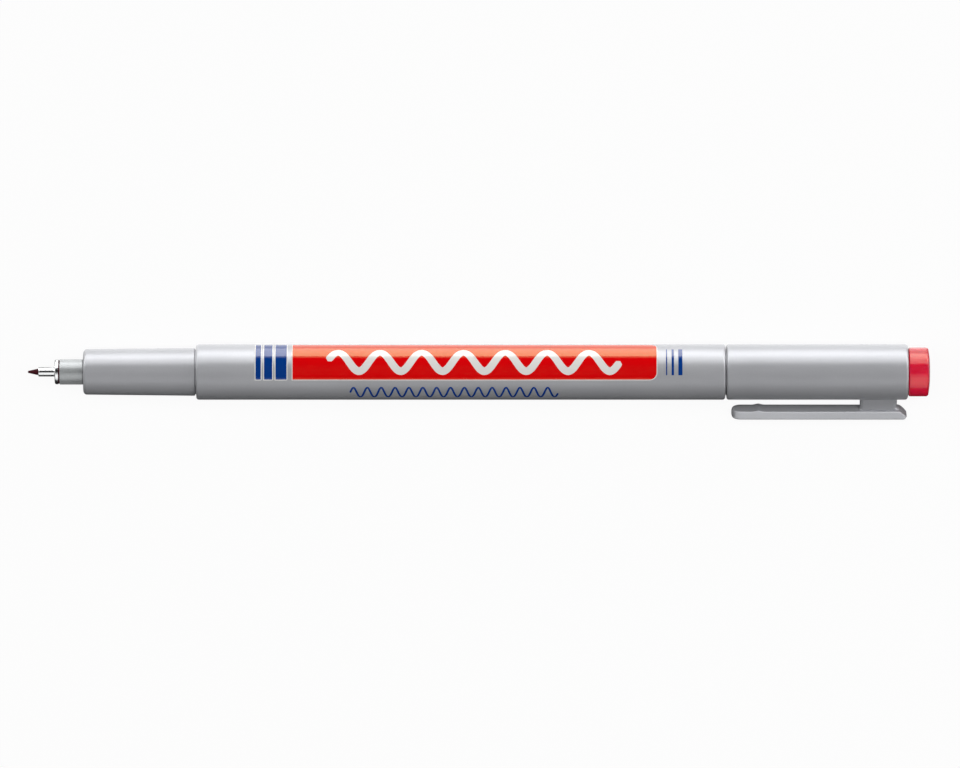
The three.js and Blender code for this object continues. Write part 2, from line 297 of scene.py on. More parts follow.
def makeDrawnSteel():
    look = drawnSteel
    material = newMaterial("drawnStainlessSteel")
    place = addNode(material, "ShaderNodeTexCoord")
    around = 1 / look["ringReach"] / mm
    stretch = addNode(
        material, "ShaderNodeMapping",
        {"Scale": (1 / look["ringWidth"] / mm, around, around)}, {"Vector": (place, "Object")},
    )
    rings = addNode(
        material, "ShaderNodeTexNoise",
        {"Scale": 1.0, "Detail": 2.0}, {"Vector": (stretch, "Vector")},
    )
    roughness = addNode(
        material, "ShaderNodeMapRange",
        {"To Min": look["roughness"][0], "To Max": look["roughness"][1]}, {"Value": (rings, "Fac")},
    )
    bump = addNode(
        material, "ShaderNodeBump",
        {"Strength": 0.1, "Distance": look["ringDepth"] * mm}, {"Height": (rings, "Fac")},
    )
    shader = addNode(
        material, "ShaderNodeBsdfPrincipled",
        {"Base Color": linear(look["colour"]), "Metallic": 1.0},
        {"Roughness": (roughness, "Result"), "Normal": (bump, "Normal")},
    )
    addNode(material, "ShaderNodeOutputMaterial", links={"Surface": (shader, "BSDF")})
    return material


# Bonded acrylic fibres soaked with ink: dark, matt, with fine lengthwise streaks.
inkedFibre = {
    "dark": "#2a030a", "light": "#4d0c1c", "fibreLength": 1.25, "fibreWidth": 0.06, "fibreDepth": 0.02,
}


def makeInkedFibre():
    look = inkedFibre
    material = newMaterial("inkedFibreNib")
    place = addNode(material, "ShaderNodeTexCoord")
    across = 1 / look["fibreWidth"] / mm
    stretch = addNode(
        material, "ShaderNodeMapping",
        {"Scale": (1 / look["fibreLength"] / mm, across, across)}, {"Vector": (place, "Object")},
    )
    fibres = addNode(
        material, "ShaderNodeTexNoise",
        {"Scale": 1.0, "Detail": 3.0}, {"Vector": (stretch, "Vector")},
    )
    colour = addNode(
        material, "ShaderNodeValToRGB", links={"Fac": (fibres, "Fac")},
        stops=shades(linear(look["dark"]), linear(look["light"]), low=0.35),
    )
    bump = addNode(
        material, "ShaderNodeBump",
        {"Strength": 0.4, "Distance": look["fibreDepth"] * mm}, {"Height": (fibres, "Fac")},
    )
    shader = addNode(
        material, "ShaderNodeBsdfPrincipled",
        {"Roughness": 0.8, "IOR": 1.3},
        {"Base Color": (colour, "Color"), "Normal": (bump, "Normal")},
    )
    addNode(material, "ShaderNodeOutputMaterial", links={"Surface": (shader, "BSDF")})
    return material


# Polystyrene in the ink's colour, injection moulded and glossy: sharp highlights over a deep red.
redPlastic = {
    "dark": "#e6163f", "light": "#ee1a45", "cloudSize": 2, "roughness": (0.17, 0.2),
    "sheen": (1.0, 0.97, 0.75, 1),  # a warm highlight
}


def makeRedPolystyrene():
    look = redPlastic
    material = newMaterial("glossyRedPolystyrene")
    place = addNode(material, "ShaderNodeTexCoord")
    cloud = addNode(
        material, "ShaderNodeTexNoise",
        {"Scale": 1 / (look["cloudSize"] * mm), "Detail": 2.0}, {"Vector": (place, "Object")},
    )
    colour = addNode(
        material, "ShaderNodeValToRGB", links={"Fac": (cloud, "Fac")},
        stops=shades(linear(look["dark"]), linear(look["light"])),
    )
    roughness = addNode(
        material, "ShaderNodeMapRange",
        {"To Min": look["roughness"][0], "To Max": look["roughness"][1]}, {"Value": (cloud, "Fac")},
    )
    shader = addNode(
        material, "ShaderNodeBsdfPrincipled",
        {
            "IOR": 1.62, "Specular Tint": look["sheen"], "Subsurface Weight": 0.5,
            "Subsurface Radius": (1.5, 0.2, 0.1), "Subsurface Scale": 1 * mm,
        },
        {"Base Color": (colour, "Color"), "Roughness": (roughness, "Result")},
    )
    addNode(material, "ShaderNodeOutputMaterial", links={"Surface": (shader, "BSDF")})
    return material


# Polyethylene left in its natural colour: waxy and milky.
naturalPlastic = {"dark": "#d6d4cd", "light": "#e2e0da", "cloudSize": 2.5}


def makeNaturalPolyethylene():
    look = naturalPlastic
    material = newMaterial("naturalPolyethylene")
    place = addNode(material, "ShaderNodeTexCoord")
    cloud = addNode(
        material, "ShaderNodeTexNoise",
        {"Scale": 1 / (look["cloudSize"] * mm), "Detail": 2.0}, {"Vector": (place, "Object")},
    )
    colour = addNode(
        material, "ShaderNodeValToRGB", links={"Fac": (cloud, "Fac")},
        stops=shades(linear(look["dark"]), linear(look["light"])),
    )
    shader = addNode(
        material, "ShaderNodeBsdfPrincipled",
        {"Roughness": 0.45, "IOR": 1.51},
        {"Base Color": (colour, "Color")},
    )
    addNode(material, "ShaderNodeOutputMaterial", links={"Surface": (shader, "BSDF")})
    return material


# Polyester fibre soaked with ink, hidden in the barrel: soft lengthwise streaks.
inkedWadding = {"dark": "#a3161e", "light": "#d9534f", "streakLength": 5, "streakWidth": 1 / 6}


def makeInkedWadding():
    look = inkedWadding
    material = newMaterial("inkedPolyesterWadding")
    place = addNode(material, "ShaderNodeTexCoord")
    across = 1 / look["streakWidth"] / mm
    stretch = addNode(
        material, "ShaderNodeMapping",
        {"Scale": (1 / look["streakLength"] / mm, across, across)}, {"Vector": (place, "Object")},
    )
    streaks = addNode(
        material, "ShaderNodeTexNoise",
        {"Scale": 1.0, "Detail": 3.0}, {"Vector": (stretch, "Vector")},
    )
    colour = addNode(
        material, "ShaderNodeValToRGB", links={"Fac": (streaks, "Fac")},
        stops=shades(linear(look["dark"]), linear(look["light"])),
    )
    shader = addNode(
        material, "ShaderNodeBsdfPrincipled",
        {"Roughness": 0.85}, {"Base Color": (colour, "Color")},
    )
    addNode(material, "ShaderNodeOutputMaterial", links={"Surface": (shader, "BSDF")})
    return material


# Clear polypropylene film round the wadding: thin, glossy, slightly milky.
clearFilm = {"colour": "#eeeeea", "cloudSize": 10 / 3, "roughness": (0.2, 0.3)}


def makeClearFilm():
    look = clearFilm
    material = newMaterial("clearFilm")
    place = addNode(material, "ShaderNodeTexCoord")
    cloud = addNode(
        material, "ShaderNodeTexNoise",
        {"Scale": 1 / (look["cloudSize"] * mm)}, {"Vector": (place, "Object")},
    )
    roughness = addNode(
        material, "ShaderNodeMapRange",
        {"To Min": look["roughness"][0], "To Max": look["roughness"][1]}, {"Value": (cloud, "Fac")},
    )
    shader = addNode(
        material, "ShaderNodeBsdfPrincipled",
        {"Base Color": linear(look["colour"]), "Transmission Weight": 0.6, "IOR": 1.49},
        {"Roughness": (roughness, "Result")},
    )
    addNode(material, "ShaderNodeOutputMaterial", links={"Surface": (shader, "BSDF")})
    return material


# Screen-printed ink: a smooth glossy coat with a faint unevenness where the mesh lay.
screenPrint = {
    "cloudSize": 20 / 7, "roughness": (0.06, 0.09),
    "white": {"colour": "#f1efeb", "shade": 0.97, "sheen": (1, 1, 1, 1)},
    "red": {"colour": "#e8030b", "shade": 0.96, "sheen": (0.8, 1.0, 0.5, 1)},  # dense red reflects golden
    "blue": {"colour": "#063c8c", "shade": 0.93, "sheen": (1, 1, 1, 1)},
}


def makePrint(ink):
    look = screenPrint
    material = newMaterial(ink + "Print")
    place = addNode(material, "ShaderNodeTexCoord")
    cloud = addNode(
        material, "ShaderNodeTexNoise",
        {"Scale": 1 / (look["cloudSize"] * mm), "Detail": 2.0}, {"Vector": (place, "Object")},
    )
    base = np.array(linear(look[ink]["colour"]))
    darker = tuple(base[:3] * look[ink]["shade"]) + (1.0,)
    colour = addNode(
        material, "ShaderNodeValToRGB", links={"Fac": (cloud, "Fac")}, stops=shades(darker, tuple(base)),
    )
    roughness = addNode(
        material, "ShaderNodeMapRange",
        {"To Min": look["roughness"][0], "To Max": look["roughness"][1]}, {"Value": (cloud, "Fac")},
    )
    shader = addNode(
        material, "ShaderNodeBsdfPrincipled",
        {"IOR": 1.64, "Specular Tint": look[ink]["sheen"]},
        {"Base Color": (colour, "Color"), "Roughness": (roughness, "Result")},
    )
    addNode(material, "ShaderNodeOutputMaterial", links={"Surface": (shader, "BSDF")})
    return material


silver = makeSilverPolypropylene()
polished = makePolishedGrey()
steel = makeDrawnSteel()
fibre = makeInkedFibre()
red = makeRedPolystyrene()
seal = makeNaturalPolyethylene()
wadding = makeInkedWadding()
film = makeClearFilm()
whitePrint, redPrint, bluePrint = makePrint("white"), makePrint("red"), makePrint("blue")
print("materials made")


# The writing end

barrel = {"bore": 3.85, "frontEdge": 0.42, "rearEdge": 0.45}


def makeBarrel():
    front, rear = span("barrel")
    r, b = pen["radius"], barrel
    return turned("barrelTube", [
        (front, r, b["frontEdge"]), (rear, r, b["rearEdge"]),
        (rear, b["bore"], 0), (front, b["bore"], 0),
    ])


section = {
    "length": 19.1, "frontRadius": 3.88, "rearRadius": 4.08, "spigotRadius": 3.8,
    "frontEdge": 0.6, "rearEdge": 0.18, "stemBore": 2.0, "collarLength": 5, "chamberRadius": 3.1,
}


def makeSection():
    s = section
    front, rear = span("section")
    step = front + s["length"]
    return turned("gripSection", [
        (front, s["frontRadius"], s["frontEdge"]), (step, s["rearRadius"], s["rearEdge"]),
        (step, s["spigotRadius"], 0), (rear, s["spigotRadius"], hiddenEdge),
        (rear, s["chamberRadius"], 0), (front + s["collarLength"], s["chamberRadius"], 0),
        (front + s["collarLength"], s["stemBore"], 0), (front, s["stemBore"], 0),
    ])


nose = {
    "length": 3.95, "radius": 2.175, "edge": 0.05, "rearEdge": 0.1, "stemRadius": 1.95,
    "bore": 0.69, "pocketLength": 4.1, "pocketRadius": 1.25,
}


def makeNose():
    n = nose
    front, rear = span("nib_holder")
    return turned("noseCone", [
        (front, n["radius"], n["edge"]), (front + n["length"], n["radius"], n["rearEdge"]),
        (front + n["length"], n["stemRadius"], 0), (rear, n["stemRadius"], hiddenEdge),
        (rear, n["bore"], 0), (front + n["pocketLength"], n["bore"], 0),
        (front + n["pocketLength"], n["pocketRadius"], 0), (front, n["pocketRadius"], 0),
    ])


ferrule = {
    "needleLength": 2.8, "needleRadius": 0.8, "needleEdge": 0.12, "bore": 0.64, "rootFillet": 0.2,
    "collar": 0.62, "collarRadius": 2.125, "collarEdge": 0.28, "collarRearEdge": 0.03,
    "stemRadius": 1.2, "stemEdge": 0.2,
}


def makeFerrule():
    f = ferrule
    front, rear = span("ferrule")
    collar = front + f["needleLength"]
    back = collar + f["collar"]
    return turned("needleFerrule", [
        (front, f["needleRadius"], f["needleEdge"]), (collar, f["needleRadius"], f["rootFillet"]),
        (collar, f["collarRadius"], f["collarEdge"]), (back, f["collarRadius"], f["collarRearEdge"]),
        (back, f["stemRadius"], 0), (rear, f["stemRadius"], f["stemEdge"]),
        (rear, f["bore"], 0), (front, f["bore"], 0),
    ], around=96)


# a dark ring of the nib's inked fibre in the gap between the ferrule's collar and the nose: painted shade,
# standing for the gap in shadow
shadedGapRing = {"length": 0.24, "radius": 2.02, "bore": 1.21}


def makeShadedGapRing():
    g = shadedGapRing
    rear = span("nib_holder")[0]
    return turned("shadedGapRing", [
        (rear - g["length"], g["radius"], 0), (rear, g["radius"], 0),
        (rear, g["bore"], 0), (rear - g["length"], g["bore"], 0),
    ], around=96)


nib = {"coneLength": 1.8, "pointRadius": 0.17, "pointEdge": 0.12, "radius": 0.57, "coneEdge": 0.3}


def makeNib():
    n = nib
    front, rear = span("nib")
    return turned("fibreNib", [
        (front, 0, 0), (front, n["pointRadius"], n["pointEdge"]),
        (front + n["coneLength"], n["radius"], n["coneEdge"]),
        (rear, n["radius"], 0), (rear, 0, 0),
    ], closed=False, around=64)


# The tail and the cap

tail = {
    "spigotRadius": 4.0, "edge": 0.5, "insertRadius": 3.8, "insert": 7.1,
    "hollowRadius": 2.3, "hollowEdge": 0.5, "endWall": 1.5,
}


def makeTail():
    t = tail
    front, rear = span("tail_plug")
    shoulder = front + t["insert"]
    return turned("tailSpigot", [
        (rear - t["endWall"], 0, 0), (rear - t["endWall"], t["hollowRadius"], t["hollowEdge"]),
        (front, t["hollowRadius"], 0), (front, t["insertRadius"], hiddenEdge),
        (shoulder, t["insertRadius"], 0), (shoulder, t["spigotRadius"], 0),
        (rear, t["spigotRadius"], t["edge"]), (rear, 0, 0),
    ], closed=False)


cap = {
    "bore": 4.15, "mouthEdge": 0.4, "endEdge": 0.5, "endWall": 1.0, "endHole": 3.15,
    "beadFromMouth": 0.8, "beadLength": 0.8, "beadBore": 4.08,
}


def makeCap():
    c = cap
    mouth, end = span("cap_shell")
    bead, width = mouth + c["beadFromMouth"], c["beadLength"]
    return turned("capShell", [
        (mouth, pen["radius"], c["mouthEdge"]), (end, pen["radius"], c["endEdge"]),
        (end, c["endHole"], 0), (end - c["endWall"], c["endHole"], 0),
        (end - c["endWall"], c["bore"], hiddenEdge), (bead + width, c["bore"], 0),
        (bead + 2 * width / 3, c["beadBore"], 0), (bead + width / 3, c["beadBore"], 0),
        (bead, c["bore"], 0), (mouth, c["bore"], 0),
    ])


innerCap = {
    "bore": 2.305, "lipBore": 2.225, "lip": 0.8, "outer": 3.055,
    "bottom": 0.8, "flange": 0.8, "rim": 4.1,
}


def makeInnerCap():
    c = innerCap
    front, rear = span("inner_cap")
    return turned("sealingCup", [
        (rear - c["bottom"], 0, 0), (rear - c["bottom"], c["bore"], hiddenEdge),
        (front + 2 * c["lip"], c["bore"], 0), (front + c["lip"], c["lipBore"], 0),
        (front, c["lipBore"], 0), (front, c["outer"], hiddenEdge),
        (rear - c["flange"], c["outer"], hiddenEdge), (rear - c["flange"], c["rim"], 0),
        (rear, c["rim"], 0), (rear, 0, 0),
    ], closed=False, around=96)


button = {
    "length": 3.65, "short": 0.15, "radius": 4.18, "edge": 0.35, "frontEdge": 0.28,
    "dome": 0.3, "flat": 2.2, "flatEdge": 0.9, "stem": 3.1,
}


def makeButton():
    b = button
    front, rear = span("cap_plug")
    rear -= b["short"]
    step = rear - b["length"]
    return turned("inkColourButton", [
        (front, 0, 0), (front, b["stem"], 0), (step, b["stem"], 0), (step, b["radius"], b["frontEdge"]),
        (rear - b["dome"], b["radius"], b["edge"]), (rear, b["flat"], b["flatEdge"]), (rear, 0, 0),
    ], closed=False)


dress(makeBarrel(), silver, "pen", "grey_plastic", "barrel")
dress(makeSection(), silver, "pen", "grey_plastic", "section")
noseCone = dress(makeNose(), polished, "pen", "nose_plastic", "nib_holder")
needleFerrule = dress(makeFerrule(), steel, "pen", "steel", "ferrule")
dress(makeNib(), fibre, "pen", "nib_fibre", "nib")
# painted shade: a dark ring where the gap between collar and nose lies in shadow
dress(makeShadedGapRing(), fibre, "pen", "nib_fibre")
dress(makeTail(), silver, "pen", "grey_plastic", "tail_plug")
dress(makeCap(), silver, "cap", "grey_plastic", "cap_shell")
dress(makeInnerCap(), seal, "cap_end", "seal_plastic", "inner_cap")
endButton = dress(makeButton(), red, "cap_end", "ink_colour_plastic", "cap_plug")
for node, material in (("reservoir_core", wadding), ("reservoir_sleeve", film)):
    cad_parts[node].data.materials.clear()
    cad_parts[node].data.materials.append(material)
print("turned pieces made")


# The clip

clip = {
    "inner": 6.735, "outer": 8.29, "width": 3.2, "edge": 0.24, "roll": 23.946,
    "tipRounding": 0.38, "rearRounding": 0.6, "rearCorner": 0.5,
    "bumpAt": 4.6, "bumpLength": 1.9, "bumpHeight": 0.2,
    "postAt": 22.0, "postLength": 6.3, "postWidth": 2.2, "footWidth": 4.0, "foot": 4.2,
    "fillet": 0.3, "postCorner": 0.6, "heelBase": 6.25, "heelTop": 7.79,
    "bend": 12,  # length in front of the post that bends when the clip springs open
}


def sideView(x, tip, end):
    # Distance of the clip's two faces from the pen's axis at each x: a bump of sin^2 near the tip, the
    # heel's slope at the other end, and quarter rounds r - sqrt(r^2 - (r - u)^2) at both ends.
    c = clip
    u, v = x - tip, end - x
    t = np.clip((u - c["bumpAt"]) / c["bumpLength"] + 0.5, 0, 1)
    inner = c["inner"] - c["bumpHeight"] * np.sin(np.pi * t) ** 2
    postRear = tip + c["postAt"] + c["postLength"]
    slope = c["heelBase"] + (c["heelTop"] - c["heelBase"]) * (x - postRear) / (end - postRear)
    inner = np.where(x > postRear, np.maximum(inner, slope), inner)
    r, q = c["tipRounding"], c["rearCorner"]
    tipRound = r - np.sqrt(np.maximum(r**2 - np.clip(r - u, 0, r) ** 2, 0))
    rearRound = q - np.sqrt(np.maximum(q**2 - np.clip(q - v, 0, q) ** 2, 0))
    return inner + tipRound, c["outer"] - tipRound - rearRound


def placed(x, across, distance):
    # from the clip's own directions to the pen's: turned by roll about the pen's axis, towards -Y
    roll = np.radians(clip["roll"])
    y = -distance * np.cos(roll) - across * np.sin(roll)
    z = pen["axisHeight"] - distance * np.sin(roll) + across * np.cos(roll)
    return np.stack([x, y, z], -1)


clipRows = {
    # steps along the bar up to the bump, over it, up to the post and up to the end, then round its corners
    "alongBar": (5, 17, 20, 24), "tipArc": 49, "rearArc": 9, "edgeArc": 7,
    "bumpReach": 0.55,  # the close rows begin and end this far from the bump's middle, in bump lengths
    "postReach": 0.5,  # and again this far before the post
    "faceShares": (0, 0.35, 0.7, 0.93),  # rings on a face, from its middle line outwards
    "sideHold": 1.3,  # a ring this many edges from a face keeps the sides flat in shading
    "deepest": 0.45,  # an edge takes this share of the thickness at most
}


def makeBar(tip, end):
    # The face-on outline, with a half round tip, is carried through the thickness. At each level it
    # is drawn in by edge (1 - sin a), and the faces shrink it on to a line down the middle.
    c, cuts = clip, clipRows
    half, r, edge = c["width"] / 2, c["rearRounding"], c["edge"]
    near, far = tip + half, end - r
    reach = cuts["bumpReach"] * c["bumpLength"]
    bump = tip + c["bumpAt"]
    stations = (near, bump - reach, bump + reach, tip + c["postAt"] - cuts["postReach"], far)
    along = np.concatenate([
        np.linspace(x0, x1, steps)[1:]
        for x0, x1, steps in zip(stations, stations[1:], cuts["alongBar"])
    ])
    tipTurn = np.radians(np.linspace(270, 90, cuts["tipArc"]))
    rearTurn = np.radians(np.linspace(90, 0, cuts["rearArc"]))
    side = np.stack([along[:-1], np.full(len(along) - 1, half)], -1)
    tipArc = np.stack([near + half * np.cos(tipTurn), half * np.sin(tipTurn)], -1)
    rearArc = np.stack([far + r * np.cos(rearTurn), half - r + r * np.sin(rearTurn)], -1)
    upper = np.concatenate([side, rearArc])
    outline = np.concatenate([tipArc, upper, upper[::-1] * (1, -1)])
    outward = np.concatenate([
        np.stack([np.cos(tipTurn), np.sin(tipTurn)], -1), np.tile([0.0, 1.0], (len(side), 1)),
        np.stack([np.cos(rearTurn), np.sin(rearTurn)], -1),
    ])
    outward = np.concatenate([outward, outward[len(tipArc):][::-1] * (1, -1)])
    middle = np.stack([np.clip(outline[:, 0], near, end - half), 0 * outline[:, 1]], -1)
    corner = np.linspace(0, np.pi / 2, cuts["edgeArc"])
    rows = []
    for share in cuts["faceShares"]:
        rows.append((middle + (outline - outward * edge - middle) * share, "inner", 0.0))
    for a in corner:
        rows.append((outline - outward * edge * (1 - np.sin(a)), "inner", edge * (1 - np.cos(a))))
    rows.append((outline, "inner", edge * cuts["sideHold"]))
    levels = rows + [(flat, "outer", -rise) for flat, face, rise in rows[::-1]]
    grid = np.empty((len(levels), len(outline), 3))
    for row, (flat, face, rise) in zip(grid, levels):
        inner, outer = sideView(flat[:, 0], tip, end)
        deepest = (outer - inner) * cuts["deepest"]
        if face == "inner":
            distance = inner + np.minimum(rise, deepest)
        else:
            distance = outer - np.minimum(-rise, deepest)
        row[:] = placed(flat[:, 0], flat[:, 1], distance)
    return meshFrom("pocketClip", [(grid, False)])


postRows = {
    # levels in the cap's wall, up to the heel, and round the fillet, then steps round a corner
    "inWall": 3, "toHeel": 15, "fillet": 7, "corner": 6,
    "inClip": (0.25, 0.5),  # levels above the clip's inner face, so that the two shapes overlap
    "clearance": 0.05,  # first level above the wall
    "heelGap": 0.02,  # the post's rear stays this far in front of the heel
    "topInset": 0.3,  # and its top this far, inside the clip
    "cornerHold": 0.1,  # a point this far from each corner keeps the sides flat in shading
}


def makePost(tip, end):
    # Levels from the foot in the cap's wall up into the clip. Each one is a box with round corners,
    # whose width tapers, whose front has a fillet under the clip and whose rear follows the heel.
    c, cuts = clip, postRows
    front, rear = tip + c["postAt"], tip + c["postAt"] + c["postLength"]
    f, inner = c["fillet"], c["inner"]
    under = inner - f * (1 - np.sin(np.linspace(0, np.pi / 2, cuts["fillet"])))
    distance = np.concatenate([
        np.linspace(c["foot"], pen["radius"], cuts["inWall"]),
        np.linspace(pen["radius"] + cuts["clearance"], c["heelBase"], cuts["toHeel"]),
        under, inner + np.array(cuts["inClip"]),
    ])
    share = np.minimum((distance - pen["radius"]) / (inner - pen["radius"]), 1)
    half = (c["footWidth"] + (c["postWidth"] - c["footWidth"]) * share) / 2
    reach = f - np.sqrt(np.maximum(f**2 - np.clip(distance - inner + f, 0, f) ** 2, 0))
    slope = (end - rear) / (c["heelTop"] - c["heelBase"])
    first = front - reach
    last = rear + np.clip(np.minimum(distance, inner) - c["heelBase"], 0, None) * slope - cuts["heelGap"]
    last[distance > inner] -= cuts["topInset"]
    turn = np.radians(np.linspace(0, 90, cuts["corner"]))
    grid = np.empty((len(distance), 4 * (len(turn) + 2), 3))
    r, hold = c["postCorner"], cuts["cornerHold"]
    for row, d, x0, x1, h in zip(grid, distance, first, last, half):
        low, high, side = x0 + r, x1 - r, h - r
        points = []
        for cx, cz, start in ((high, side, 0), (low, side, 90), (low, -side, 180), (high, -side, 270)):
            a = turn + np.radians(start)
            arc = np.stack([cx + r * np.cos(a), cz + r * np.sin(a)], -1)
            before = arc[0] - hold * np.array([-np.sin(a[0]), np.cos(a[0])])
            after = arc[-1] + hold * np.array([-np.sin(a[-1]), np.cos(a[-1])])
            points += [before[None], arc, after[None]]
        flat = np.concatenate(points)
        row[:] = placed(flat[:, 0], flat[:, 1], np.full(len(flat), d))
    low, high = grid[:1].mean(axis=1, keepdims=True), grid[-1:].mean(axis=1, keepdims=True)
    count = grid.shape[1]
    grid = np.concatenate([low.repeat(count, 1), grid, high.repeat(count, 1)])
    return meshFrom("clipPost", [(grid, False)])


def joined(first, second):
    # one closed mesh out of two that overlap
    union = first.modifiers.new("union", "BOOLEAN")
    union.operation, union.solver, union.object = "UNION", "EXACT", second
    whole = first.evaluated_get(bpy.context.evaluated_depsgraph_get())
    mesh = bpy.data.meshes.new_from_object(whole)
    first.modifiers.clear()
    first.data = mesh
    bpy.data.objects.remove(second)
    mesh.shade_smooth()
    mesh.set_sharp_from_angle(angle=meshing["sharpAngle"])
    return first


def makeClip():
    tip, end = span("clip")
    return joined(makeBar(tip, end), makePost(tip, end))


pocketClip = makeClip()
pocketClip.data.materials.append(silver)
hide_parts("clip")
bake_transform(pocketClip)
print("clip made")


# The print on the barrel

label = {
    "layer": 0.008,  # each layer of ink, in millimetres
    "top": 75.0, "bottom": -16.2,  # degrees from the zenith, towards +Y
    "panelAt": 16.5, "panelLength": 62.1, "cornerRounding": 1.25, "outline": 0.14,
    "barsAt": 10.2, "bars": (0.9, 1.4, 1.9), "barGap": 0.55, "barRounding": 0.1,
    "waveAt": 22.5, "waveLength": 49.9, "waves": 7,
    "waveMiddle": 22.5, "waveHeight": 1.75, "waveWidth": 1.3,
    "fineAt": 26.3, "fineLength": 35.5, "fineWaves": 15,
    "fineMiddle": -49.0, "fineHeight": 1.2, "fineWidth": 0.35,
    "strokesAt": 80.2, "strokes": (0.2, 0.4, 0.7), "strokeGap": 0.75,
    "strokeTop": 54.0, "strokeBottom": -7.0, "strokeRounding": 0.05,
}
# points along a straight side, round a corner and in each wave, and across the tall and the narrow prints
printRows = {"side": 60, "corner": 16, "wave": 40, "tall": 40, "strokes": 24, "narrow": 5}


def printed(name, shapes, layer, material, across=printRows["narrow"]):
    # Each shape is a strip between two paths of x and of way round the barrel, in millimetres. It is
    # laid on the barrel by angle = way / radius, with its underside sunk a little into the plastic.
    grids = []
    x0 = span("barrel")[0]
    for lower, upper in shapes:
        t = np.linspace(0, 1, across)[None, :, None]
        flat = lower[:, None] * (1 - t) + upper[:, None] * t
        flat = np.concatenate([flat, flat[:, ::-1]], axis=1)
        high = np.concatenate([np.ones(across), np.zeros(across)])[None, :].repeat(len(flat), 0)
        flat = np.concatenate([flat[:1], flat, flat[-1:]])
        high = np.concatenate([0 * high[:1], high, 0 * high[-1:]])
        radius = pen["radius"] - label["layer"] + high * label["layer"] * (layer + 1)
        angle = flat[..., 1] / pen["radius"]
        grid = np.empty((*radius.shape, 3))
        grid[..., 0] = x0 + flat[..., 0]
        grid[..., 1] = radius * np.sin(angle)
        grid[..., 2] = pen["axisHeight"] + radius * np.cos(angle)
        grids.append((grid, False))
    obj = meshFrom(name, grids)
    return dress(obj, material, "pen", "label_print")


def wayRound(degrees):
    return np.radians(degrees) * pen["radius"]


def panelShape(start, length, low, high, rounding, grow=0.0):
    # a long box whose far corners are rounded: inset(x) = r - sqrt(r^2 - (x - (end - r))^2)
    start, end, low, high = start - grow, start + length + grow, low - grow, high + grow
    r = rounding + grow
    turn = np.linspace(0, np.pi / 2, printRows["corner"])[1:]
    x = np.concatenate([np.linspace(start, end - r, printRows["side"]), end - r + r * np.sin(turn)])
    inset = r - np.sqrt(np.maximum(r**2 - np.maximum(x - (end - r), 0) ** 2, 0))
    return np.stack([x, low + inset], -1), np.stack([x, high - inset], -1)


def waveShape(start, length, waves, middle, height, width):
    # a pen stroke of even width along v = middle + height sin(2 pi waves t), with round ends
    t = np.linspace(0, 1, printRows["wave"] * waves + 1)
    centre = np.stack([start + length * t, middle + height * np.sin(2 * np.pi * waves * t)], -1)
    step = np.gradient(centre, axis=0)
    normal = np.stack([-step[:, 1], step[:, 0]], -1) / np.linalg.norm(step, axis=1, keepdims=True)
    along = np.concatenate([[0], np.cumsum(np.linalg.norm(np.diff(centre, axis=0), axis=1))])
    toEnd = np.minimum(along, along[-1] - along)
    half = width / 2
    reach = np.sqrt(np.maximum(half**2 - np.maximum(half - toEnd, 0) ** 2, 0))[:, None]
    return centre - normal * reach, centre + normal * reach


def makeLabel():
    s = label
    low, high = wayRound(s["bottom"]), wayRound(s["top"])
    barStarts = s["barsAt"] + np.concatenate([[0], np.cumsum(np.array(s["bars"][:-1]) + s["barGap"])])
    bars = [(x, width) for x, width in zip(barStarts, s["bars"])]
    panel = panelShape(s["panelAt"], s["panelLength"], low, high, s["cornerRounding"])
    under = panelShape(s["panelAt"], s["panelLength"], low, high, s["cornerRounding"], s["outline"])
    whiteBars = [panelShape(x, width, low, high, s["barRounding"], s["outline"]) for x, width in bars]
    blueBars = [panelShape(x, width, low, high, s["barRounding"]) for x, width in bars]
    tall = printRows["tall"]
    prints = [
        printed("labelUnderprint", [under, *whiteBars], 1, whitePrint, tall),
        printed("labelPanel", [panel], 2, redPrint, tall),
        printed("labelBars", blueBars, 2, bluePrint, tall),
    ]

    middle = wayRound(s["waveMiddle"])
    wave = waveShape(s["waveAt"], s["waveLength"], s["waves"], middle, s["waveHeight"], s["waveWidth"])
    prints.append(printed("labelWave", [wave], 3, whitePrint))

    middle = wayRound(s["fineMiddle"])
    fine = waveShape(s["fineAt"], s["fineLength"], s["fineWaves"], middle, s["fineHeight"], s["fineWidth"])
    prints.append(printed("labelFineWave", [fine], 1, bluePrint))

    strokes = []
    x, low, high = s["strokesAt"], wayRound(s["strokeBottom"]), wayRound(s["strokeTop"])
    for width in s["strokes"]:
        strokes.append(panelShape(x, width, low, high, s["strokeRounding"]))
        x += width + s["strokeGap"]
    prints.append(printed("labelStrokes", strokes, 1, bluePrint, printRows["strokes"]))
    return prints


prints = makeLabel()
print("label made")


# The table, lights and camera

# Angles are degrees from the zenith and distances metres. A glow is a lit part of the table between
# two distances in millimetres from the pen's axis, negative towards -Y, just above the table's cards.
studio = {
    "floorSize": 6.0, "floorWhite": 0.93, "floorSeen": 0.9, "floorBounce": 0.3, "cardHeight": 0.1,
    "ambient": 0.06, "lampLength": 2.4,
    "farGlow": {"near": 52, "far": 500, "height": 0.2, "radiance": 3.7},
    "nearGlow": {"near": 6, "far": 52, "height": 0.2, "radiance": 0.95},
    "printGlow": {"near": 20, "far": 52, "height": 0.3, "radiance": 2.2, "diffuse": False},
    "noseGlow": {"near": 3, "far": 52, "height": 0.4, "radiance": 0.65, "diffuse": False},
    "noseEdge": {"near": -52, "far": -3, "height": 0.4, "radiance": 0.35, "diffuse": False},
    "tipLamp": {"side": -1, "distance": 0.8, "from": 68, "to": 90, "radiance": 0.6},
    "capLamp": {"side": 1, "distance": 0.8, "from": 68, "to": 90, "radiance": 2.0},
}

